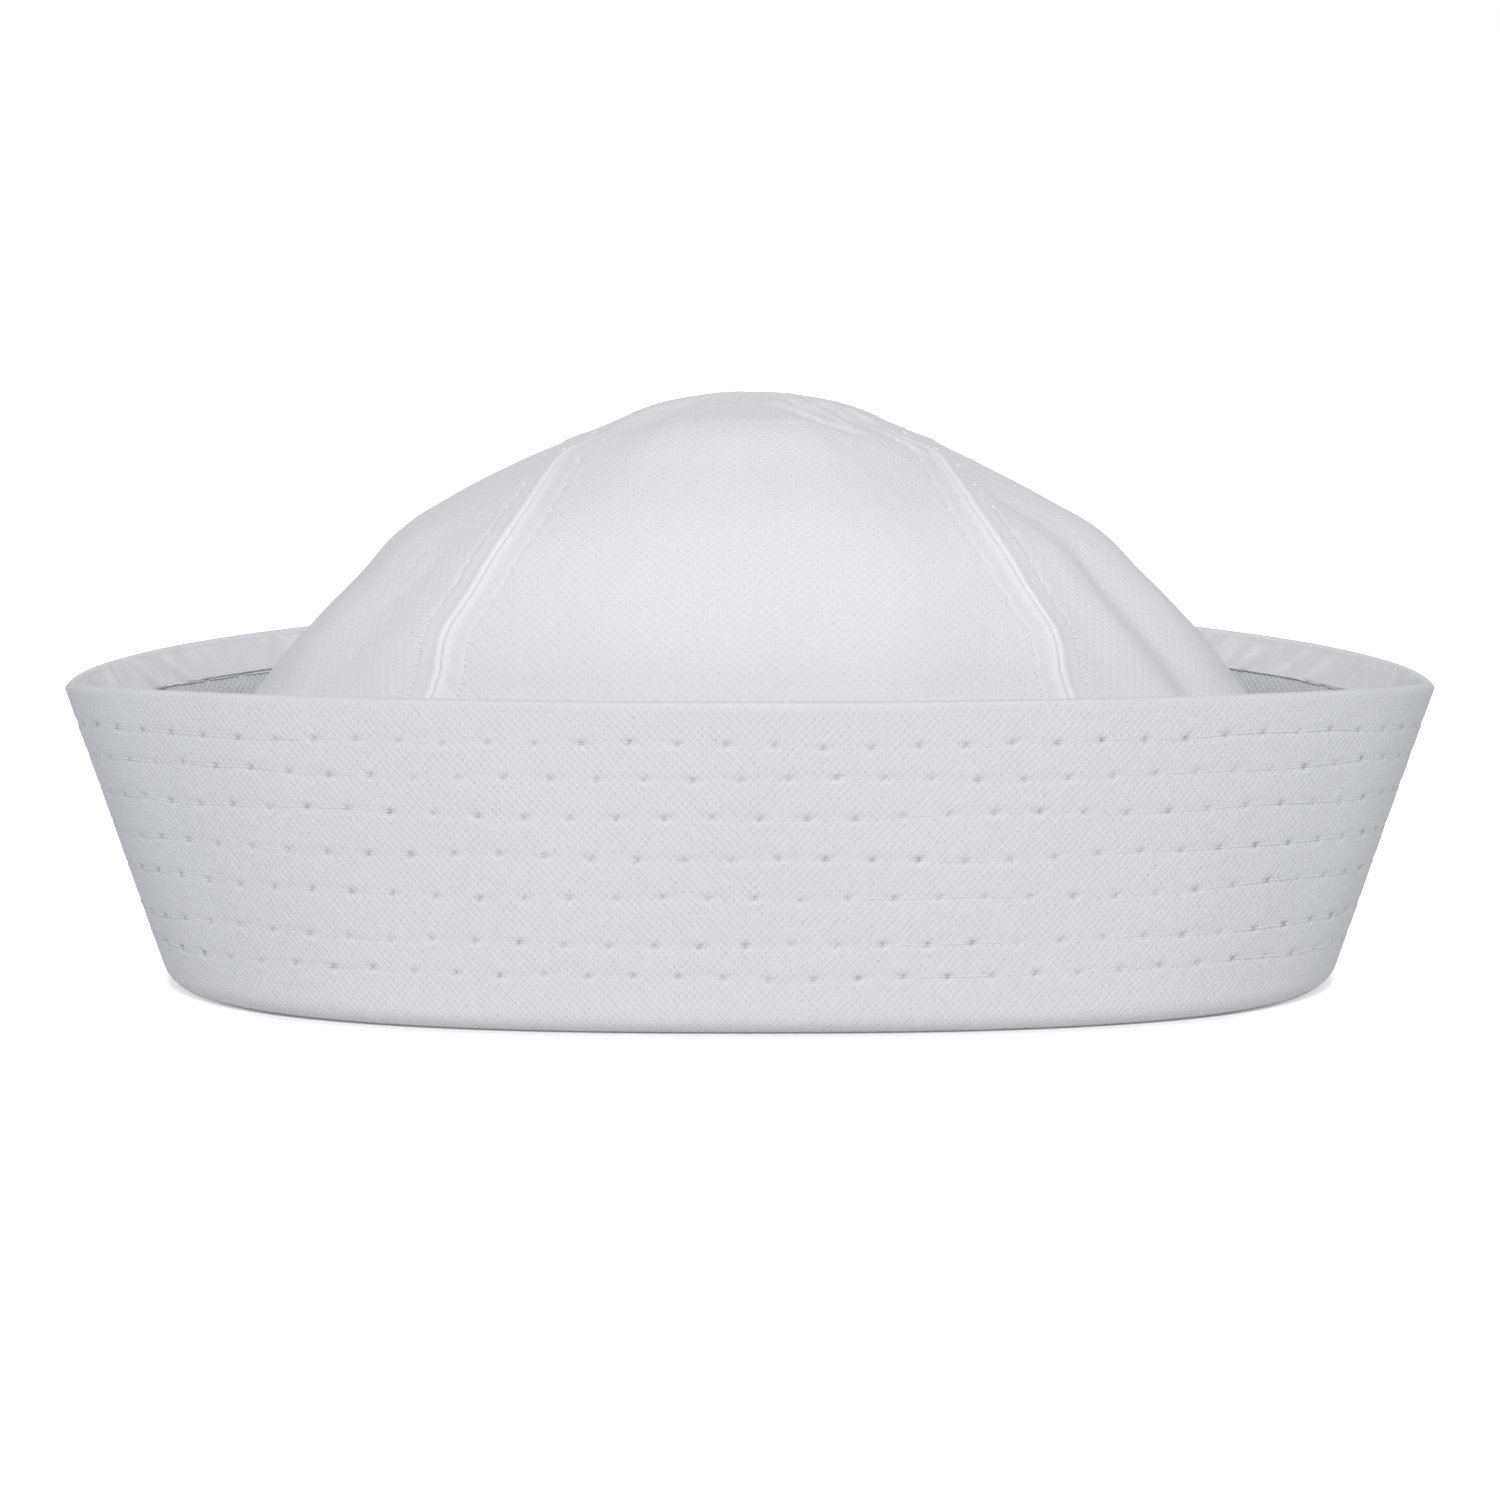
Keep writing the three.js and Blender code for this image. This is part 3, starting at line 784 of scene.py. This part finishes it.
# Level sections: share of the height, shares of half width and half depth, squareness, seam's place.
CROWN_SECTIONS = [
    (0.0, 1.0, 1.0, 2.45, 0.6),
    (0.15, 0.995, 0.995, 2.35, 0.605),
    (0.3, 0.98, 0.975, 2.2, 0.62),
    (0.42, 0.945, 0.93, 2.1, 0.635),
    (0.52, 0.88, 0.875, 2.05, 0.65),
    (0.61, 0.8, 0.812, 2.0, 0.68),
    (0.69, 0.714, 0.748, 2.0, 0.69),
    (0.755, 0.648, 0.685, 2.0, 0.7),
    (0.815, 0.548, 0.611, 2.0, 0.745),
    (0.87, 0.438, 0.523, 2.0, 0.83),
    (0.91, 0.342, 0.445, 2.0, 0.915),
    (0.945, 0.256, 0.367, 2.0, 0.93),
    (0.968, 0.201, 0.29, 2.0, 0.93),
    (0.985, 0.138, 0.165, 2.0, 0.9),
    (1.0, 0.0, 0.0, 2.0, 0.88),
]
# Broad folds: panel, angle from the side, spread in degrees, heights from and to, depth in mm.
CROWN_FOLDS = [
    ("right", 26, 4.5, 0.32, 0.86, 1.5),
    ("right", 14, 7, 0.35, 0.84, -1.3),
    ("right", 40, 5, 0.35, 0.75, 0.5),
    ("left", 31, 6, 0.4, 0.8, 0.7),
    ("left", 18, 7, 0.35, 0.8, -0.5),
]
FOLD_FADE_POWER = 0.7
# Outside of the cloth by distance from the seam, in mm: it rolls down into the seam, and the band of
# pressed allowances ends in the sunk topstitching.
SEAM_PROFILE = [
    (-0.06, -0.3), (0.03, 0.05), (0.12, 0.3), (0.25, 0.5), (0.45, 0.66), (0.75, 0.74), (1.1, 0.72),
    (1.6, 0.55), (2.2, 0.36), (2.9, 0.26), (4.0, 0.24), (4.8, 0.18), (5.2, 0.06), (5.5, -0.02),
    (5.8, 0.02), (6.2, 0.07), (6.8, 0.05), (7.8, 0.01), (9.0, 0.0),
]
# How far the corner seams wander towards the front or the back, in mm, by the length walked up.
SEAM_WANDER = [
    (0, 0.0), (40, 0.2), (55, 0.5), (61, 0.75), (67, 1.25), (70, 0.7), (73, 0.05), (77, -0.5),
    (85, 0.0), (94, 0.5), (104, 0.55), (114, 0.5), (125, -0.1), (140, 0.0), (160, 0.0),
]
# The front edge of the flat top: a soft bend that runs from seam to seam over front and back, in mm.
CREST_RISE = 1.3
CREST_REACH = 3.8
CREST_SLOPE = 10
CREST_HALF_WIDTH = 38
CREST_MIDDLE = 22.5
CREST_END = 14
CREST_FROM = 98
CREST_WHOLE = 106
# Ripples beside the seams, and the unevenness of the cloth between them.
RUFFLE_LENGTH = 4.6 * MM
RUFFLE_LOW_DOWN = 0.22 * MM
RUFFLE_HIGH_UP = 0.05 * MM
BROAD_SIZE = 60 * MM
BROAD_RISE = 0.35 * MM
SMALL_SIZE = 17 * MM
SMALL_RISE = 0.07 * MM
# How much of the weave shows by distance from the seam in mm: the pressed allowances flatten it.
SEAM_WEAVE = [(0, 0.1), (1.2, 0.2), (2.2, 0.55), (5, 0.55), (5.6, 0.4), (6.4, 1)]
# The cloth's inside: a little darker, and it follows most of the outside's relief.
INSIDE_TONE = 0.97
INSIDE_SHARE = 0.8
# Inside of the cloth by distance from the seam, in mm: the allowance lies flat as a second ply.
ALLOWANCE_PROFILE = [
    (-0.06, -1.4), (0.1, -2.0), (0.4, -2.25), (1.2, -2.2), (3.0, -2.15), (5.0, -2.05), (5.5, -1.9),
    (6.0, -2.05), (6.6, -2.0), (6.75, -1.6), (6.9, -1.2), (8.0, -1.2), (9.0, -1.2),
]
TOPSTITCH_PLACE = 5.5 * MM
# Mesh columns near a seam, by distance from it in mm, and the rows up the crown and near its point.
SEAM_COLUMNS = [
    -0.06, 0.03, 0.12, 0.25, 0.45, 0.6, 0.75, 0.95, 1.2, 1.6, 2.1, 2.8, 3.6, 4.3, 4.8, 5.1, 5.3, 5.5,
    5.7, 5.9, 6.3, 6.9, 7.8, 9.0,
]
ROW_STEP = 1.1 * MM
TIP_FROM = 12
TIP_TO = 0.3
TIP_STEP = 0.7
SECTION_POINTS = 600
# The most of a narrow wedge's width that the columns near one seam may take.
NARROW_SHARE = 0.42


def smooth_table(at, places, values):
    """A curve through a table's values that never overshoots them."""
    gaps = np.diff(places)
    slopes = np.diff(values) / gaps
    bends = np.zeros(len(places))
    before, after = slopes[:-1], slopes[1:]
    w1 = 2 * gaps[1:] + gaps[:-1]
    w2 = gaps[1:] + 2 * gaps[:-1]
    same = before * after > 0
    safe_before = np.where(same, before, 1)
    safe_after = np.where(same, after, 1)
    bends[1:-1] = np.where(same, (w1 + w2) / (w1 / safe_before + w2 / safe_after), 0)
    bends[[0, -1]] = slopes[[0, -1]]
    i = np.clip(np.searchsorted(places, at) - 1, 0, len(gaps) - 1)
    t = (at - places[i]) / gaps[i]
    h00 = 2 * t**3 - 3 * t**2 + 1
    h10 = t**3 - 2 * t**2 + t
    h01 = 3 * t**2 - 2 * t**3
    h11 = t**3 - t**2
    below = h00 * values[i] + h10 * gaps[i] * bends[i]
    return below + h01 * values[i + 1] + h11 * gaps[i] * bends[i + 1]


class CrownSections:
    """The crown's level sections as smooth curves of the length walked up it."""

    def __init__(self):
        table = np.array(CROWN_SECTIONS)
        z = mix(CAD_FOOT, CROWN_HEIGHT, table[:, 0])
        spread = table[:, 1] * math.sqrt(CROWN_HALF_WIDTH * CROWN_HALF_DEPTH)
        self.places = np.concatenate([[0], np.cumsum(np.hypot(np.diff(z), np.diff(spread)))])
        self.total = self.places[-1]
        past = 2 * self.total - self.places[-2:-4:-1]
        mirrored = table[-2:-4:-1].copy()
        mirrored[:, 1:3] *= -1
        self.places = np.concatenate([self.places, past])
        self.table = np.concatenate([table, mirrored])

    def at(self, length):
        return [smooth_table(length, self.places, self.table[:, column]) for column in range(5)]


CROWN = CrownSections()


def crown_section(length):
    height, width, depth, square, seam = CROWN.at(length)
    z = mix(CAD_FOOT, CROWN_HEIGHT, height)
    z = z - (CAD_FOOT - CROWN_FOOT) * np.clip(1 - length / (4 * MM), 0, 1)
    return z, width * CROWN_HALF_WIDTH, depth * CROWN_HALF_DEPTH, square, seam, height


def panel_turns(panel, square, seam):
    corner = math.acos(seam ** (square / 2))
    return {
        "front": (corner, math.pi - corner),
        "left": (math.pi - corner, math.pi + corner),
        "back": (math.pi + corner, 2 * math.pi - corner),
        "right": (-corner, corner),
    }[panel]


def smooth_noise(seed, size):
    """A repeatable noise over the plane, built from a few waves of about one size."""
    draw = np.random.default_rng(seed)
    whole_turn = 2 * math.pi
    ranges = ((0, whole_turn), (0.7, 1.4), (0, whole_turn))
    waves = [[draw.uniform(low, high) for low, high in ranges] for _ in range(9)]

    def value(x, y):
        total = 0
        for heading, scale, phase in waves:
            across = x * math.cos(heading) + y * math.sin(heading)
            total = total + np.sin(across * scale * whole_turn / size + phase)
        return total / 3

    return value


# Small crumples of the flat top, in mm from the crown's point: from, to, half width, rise.
TOP_CRUMPLES = [
    ((4, -7), (10, -17), 0.9, 1.0),
    ((8, -15.5), (15, -18), 0.8, 0.7),
    ((6, -2), (13, -12), 0.9, 1.0),
    ((10, -9), (20, -17.5), 0.9, 0.9),
    ((15, -3), (19, -12), 0.8, 0.9),
    ((19, -6), (28, -13), 1.0, 0.7),
    ((23, -12), (35, -17), 1.2, 0.8),
    ((7, -18.5), (24, -19.5), 0.9, -0.9),
    ((7, -8), (13, -15), 1.0, -0.8),
    ((12, -6), (20, -14), 1.0, -0.7),
    ((-8, -4), (-20, -15), 2.2, -0.4),
    ((-18, -6), (-30, -15), 2.4, 0.35),
]


def crumples(x, y):
    total = np.zeros_like(x)
    for (x0, y0), (x1, y1), half_width, rise in TOP_CRUMPLES:
        run = np.array([x1 - x0, y1 - y0]) * MM
        length = math.hypot(*run)
        along = ((x - x0 * MM) * run[0] + (y - y0 * MM) * run[1]) / length**2
        aside = ((x - x0 * MM) * run[1] - (y - y0 * MM) * run[0]) / length
        fade = np.sin(np.clip(along, 0, 1) * math.pi) ** 0.6
        total += rise * MM * fade * bell(aside, half_width * MM)
    return total


class Panel:
    """One wedge of the crown as a grid: rows up it, columns across it from seam to seam."""

    def __init__(self, name, middle_columns):
        self.name = name
        near = np.array(SEAM_COLUMNS) * MM
        rows_up = np.arange(0, CROWN.total - TIP_FROM * MM, ROW_STEP)
        tip_rows = CROWN.total - np.arange(TIP_FROM, TIP_TO, -TIP_STEP) * MM
        self.lengths = np.concatenate([rows_up, tip_rows])
        rows, across, heights = [], [], []
        for length in self.lengths:
            z, a, b, square, seam, height = crown_section(length)
            start, end = panel_turns(name, square, seam)
            walk = np.linspace(start - 0.05, end + 0.05, SECTION_POINTS)
            walked = lengths_along(oval(a, b, square, walk, z))
            first, last = np.interp([start, end], walk, walked)
            outwards = 1 if name in ("front", "back") else -1
            wander = np.interp(length / MM, *zip(*SEAM_WANDER)) * MM * outwards
            first, last = first + wander, last - wander
            total = last - first
            squeeze = min(1, NARROW_SHARE * total / near[-1])
            edge = near[-1] * squeeze
            middle = np.linspace(edge, total - edge, middle_columns + 2)[1:-1]
            places = np.concatenate([near * squeeze, middle, (total - near * squeeze)[::-1]])
            turns = np.interp(first + places, walked, walk)
            rows.append(oval(a, b, square, turns, z))
            across.append(np.stack([places, total - places, turns], -1))
            heights.append(height)
        self.smooth = np.array(rows)
        from_start, from_end, self.turns = np.moveaxis(np.array(across), 2, 0)
        self.seam_distance = np.minimum(from_start, from_end)
        self.side = np.sign(from_end - from_start)
        self.width = from_start + from_end
        self.flat_u = (from_start - from_end) / 2
        self.heights = np.array(heights)[:, None]
        up = np.gradient(self.smooth, axis=0)
        along = np.gradient(self.smooth, axis=1)
        self.normals = unit(np.cross(up, along))
        if np.sum(self.normals * self.smooth) < 0:
            self.normals = -self.normals

    def by_seam(self, profile):
        """A profile's value at every point, in metres, by the point's distance from its seam."""
        places, values = (np.array(column) * MM for column in zip(*profile))
        return np.interp(self.seam_distance, places, values)

    def folds(self):
        """The broad folds of this wedge."""
        angle = np.degrees(np.arcsin(np.sin(self.turns)))
        total = np.zeros_like(angle)
        for panel, turn, spread, low, high, depth in CROWN_FOLDS:
            if panel == self.name:
                share = np.clip((self.heights - low) / (high - low), 0, 1)
                fade = np.sin(share * math.pi) ** FOLD_FADE_POWER
                total -= depth * MM * bell(angle - turn, spread) * fade
        return total

    def seam_fade(self):
        """The seams lie flatter near the point, where the wedges are narrow and the top is flat."""
        narrow = np.clip(self.width / (16 * MM), 0.25, 1)
        return narrow * mix(1, 0.4, np.clip((self.smooth[:, :, 2] - 105 * MM) / (4 * MM), 0, 1))

    def ruffles(self):
        """Small ripples that the seam's thread draws beside it, stronger low down on the crown."""
        distance = self.seam_distance
        length = self.lengths[:, None]
        low_down = np.clip(1 - (self.smooth[:, :, 2] - 55 * MM) / (25 * MM), 0, 1)
        phase = length / RUFFLE_LENGTH * 2 * math.pi + self.side * 0.8 + distance / (2.2 * MM)
        phase = phase + 1.3 * np.sin(length / (13 * MM) + self.side)
        reach = bell(distance - 3 * MM, 2.6 * MM) + 0.5 * bell(distance - 8.5 * MM, 3 * MM)
        beyond_ridge = distance > 0.9 * MM
        return mix(RUFFLE_HIGH_UP, RUFFLE_LOW_DOWN, low_down) * np.sin(phase) * reach * beyond_ridge

    def crest(self):
        """The bend where the flat top turns down to the front and to the back."""
        x, y, z = (np.abs(self.smooth[:, :, axis]) / MM for axis in range(3))
        line = mix(CREST_MIDDLE, CREST_END, np.clip(x / CREST_HALF_WIDTH, 0, 1) ** 2)
        reach = np.where(y < line, CREST_REACH, CREST_SLOPE)
        on_top = np.clip((z - CREST_FROM) / (CREST_WHOLE - CREST_FROM), 0, 1)
        return CREST_RISE * MM * bell(y - line, reach) * bell(x, CREST_HALF_WIDTH) * on_top

    def unevenness(self):
        """Broad and small unevenness of the handled cloth, away from the stiff seams."""
        up = self.lengths[:, None]
        broad = smooth_noise(21, BROAD_SIZE)(self.flat_u + 0.1 * self.turns, up)
        small = smooth_noise(22, SMALL_SIZE)(self.flat_u + 0.3 * self.turns, up)
        away = np.clip(self.seam_distance / (12 * MM), 0, 1)
        return (BROAD_RISE * broad + SMALL_RISE * small) * away

    def relief(self):
        """How far the outside stands off the smooth shape, the painted shade and highlights there, and
        the weave.
        """
        distance = self.seam_distance
        fade = self.seam_fade()
        rise = self.by_seam(SEAM_PROFILE) * fade + self.ruffles() + self.crest() + self.folds()
        rise = rise + crumples(self.smooth[:, :, 0], self.smooth[:, :, 1]) + self.unevenness()
        # Painted shade darkens the seam and the sunk topstitching, and a painted highlight lightens the
        # ridge beside the seam.
        painted_light = 1 - 0.1 * bell(distance, 0.12 * MM)
        painted_light = painted_light - 0.04 * bell(distance - TOPSTITCH_PLACE, 0.25 * MM)
        painted_light = painted_light + 0.065 * bell(distance - 0.9 * MM, 0.9 * MM) * fade
        weave = np.interp(distance / MM, *zip(*SEAM_WEAVE))
        return rise, painted_light, weave

    def build(self, material):
        rise, painted_light, weave = self.relief()
        fade = self.seam_fade()
        under = -CROWN_CLOTH + (self.by_seam(ALLOWANCE_PROFILE) + CROWN_CLOTH) * fade
        broad = rise - self.by_seam(SEAM_PROFILE) * fade
        outer = self.smooth + self.normals * rise[:, :, None]
        inner = self.smooth + self.normals * (under + INSIDE_SHARE * broad)[:, :, None]
        inner[:, :, 2] = np.maximum(inner[:, :, 2], CROWN_FOOT + 0.1 * MM)
        loop = np.concatenate([outer, inner[:, ::-1]], axis=1)
        middle = (outer + inner)[0] / 2 - np.array([0, 0, 0.3 * MM])
        foot = np.concatenate([middle, middle[::-1]])[None]
        tip = np.zeros_like(foot) + np.array([0, 0, CROWN_HEIGHT - 0.5 * MM])
        points = np.concatenate([foot, loop, tip])
        flat_v = np.broadcast_to(self.lengths[:, None], rise.shape)
        flat = np.stack([self.flat_u, flat_v], -1)
        flat = np.concatenate([flat, flat[:, ::-1]], axis=1)
        flat = np.concatenate([flat[:1], flat, flat[-1:]])
        values = {}
        for label, numbers in (("painted_light", painted_light), ("weave", weave)):
            inside = np.minimum(numbers[:, ::-1], INSIDE_TONE)
            numbers = np.concatenate([numbers, inside], axis=1)
            values[label] = np.concatenate([numbers[:1], numbers, numbers[-1:]])
        piece = cloth_object("crown_" + self.name + "_cloth", points, flat, values, material)
        shape = bmesh.new()
        shape.from_mesh(piece.data)
        bmesh.ops.remove_doubles(shape, verts=shape.verts, dist=0.01 * MM)
        bmesh.ops.recalc_face_normals(shape, faces=shape.faces)
        shape.to_mesh(piece.data)
        shape.free()
        return piece


# The crown's clean colour is lighter than the brim's, though both are the same cotton: painted light.
crown_cloth = pinhole_cloth(
    "white_crown_pique",
    clean=(0.991, 0.979, 0.984, 1),
    pitch=2.0 * MM,
    row=0.95 * MM,
    slit_length_power=1.2,
    wale=0.4,
    hole_shade=0.095,
    bump_height=0.035 * MM,
)
panels = {}
for side, columns in (("front", 64), ("back", 64), ("right", 56), ("left", 56)):
    panels[side] = Panel(side, columns)
    panel = panels[side].build(crown_cloth)
    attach(panel, "root")
    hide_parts("crown_" + side + "_panel")

# Topstitching of the crown: two rows along each seam, one on each side, through cloth and allowance.
# The thread lies sunk in the cloth and shows as a small bright bead at every needle hole.
TOPSTITCH_PITCH = 7.4 * MM
BEAD_LENGTH = 1.05 * MM
# The longest bead as a share of its stitch.
BEAD_SHARE = 0.7
BEAD_RADIUS = 0.24 * MM
BEAD_LIFT = 0.1 * MM
STRAND_RADIUS = 0.13 * MM
STRAND_SINK = 0.12 * MM
BEAD_STATIONS = [
    (0, -0.5, 0.3), (0.1, -0.2, 0.7), (0.28, 0.1, 0.95), (0.5, 0.2, 1), (0.72, 0.1, 0.95),
    (0.9, -0.2, 0.7), (1, -0.5, 0.3),
]
# The stitching starts hidden behind the brim and ends under the crown's point. Below LOW_STITCHING its
# stitches are short and show as a row of beads.
STITCHING_FROM = 20 * MM
HIGH_STITCHING = 109 * MM
LOW_STITCHING = 73 * MM
LOW_PITCH = 1.25 * MM


def on_line(at, walked, values):
    """Places of a line, each with three coordinates, at distances walked along it."""
    return np.stack([np.interp(at, walked, values[:, axis]) for axis in range(3)], -1)


def topstitch_line(panel, end):
    """A panel's line of topstitching beside one of its two seams, as points with their normals."""
    rise, _, _ = panel.relief()
    surface = panel.smooth + panel.normals * rise[:, :, None]
    columns = rise.shape[1]
    half = columns // 2
    side = slice(0, half) if end == 0 else slice(columns - 1, half - 1, -1)
    points, normals = [], []
    for row, distance in enumerate(panel.seam_distance):
        near = distance[side]
        height = surface[row, 0, 2]
        if near.max() < TOPSTITCH_PLACE or not STITCHING_FROM < height < HIGH_STITCHING:
            continue
        points.append(on_line(TOPSTITCH_PLACE, near, surface[row, side]))
        normals.append(on_line(TOPSTITCH_PLACE, near, panel.normals[row, side]))
    return np.array(points), unit(np.array(normals))


def topstitches(material):
    """The beads at the needle holes and the sunk strands between them, as one mesh each."""
    beads, strands = [], []
    for panel in panels.values():
        for end in (0, 1):
            points, outward = topstitch_line(panel, end)
            walked = lengths_along(points)
            places = [0.0]
            while places[-1] < walked[-1] - TOPSTITCH_PITCH:
                height = np.interp(places[-1], walked, points[:, 2])
                pitch = LOW_PITCH if height < LOW_STITCHING else TOPSTITCH_PITCH
                places.append(places[-1] + pitch)
            pitches = np.diff(places, append=places[-1] + TOPSTITCH_PITCH)
            holes = on_line(places, walked, points)
            bead_lengths = np.minimum(BEAD_LENGTH, BEAD_SHARE * pitches)
            past_beads = on_line(places + bead_lengths, walked, points)
            up = unit(on_line(places, walked, outward))
            beads.append((holes, past_beads, up))
            long = pitches[:-1] > 2 * LOW_PITCH
            strands.append((past_beads[:-1][long], holes[1:][long], up[:-1][long]))
    pieces = []
    for name, parts, lift, radius, stations in (
        ("crown_stitch_beads", beads, BEAD_LIFT, BEAD_RADIUS, BEAD_STATIONS),
        ("crown_stitch_strands", strands, -STRAND_SINK, STRAND_RADIUS, THREAD_STATIONS),
    ):
        starts, ends, up = (np.concatenate(part) for part in zip(*parts))
        starts, ends = starts + up * lift, ends + up * lift
        pieces.append(threads(name, starts, ends, up, radius, stations, material))
    return pieces


bright_thread = twisted_thread("bright_white_thread", (0.97, 0.965, 0.96, 1))
for stitching in topstitches(bright_thread):
    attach(stitching, "root")
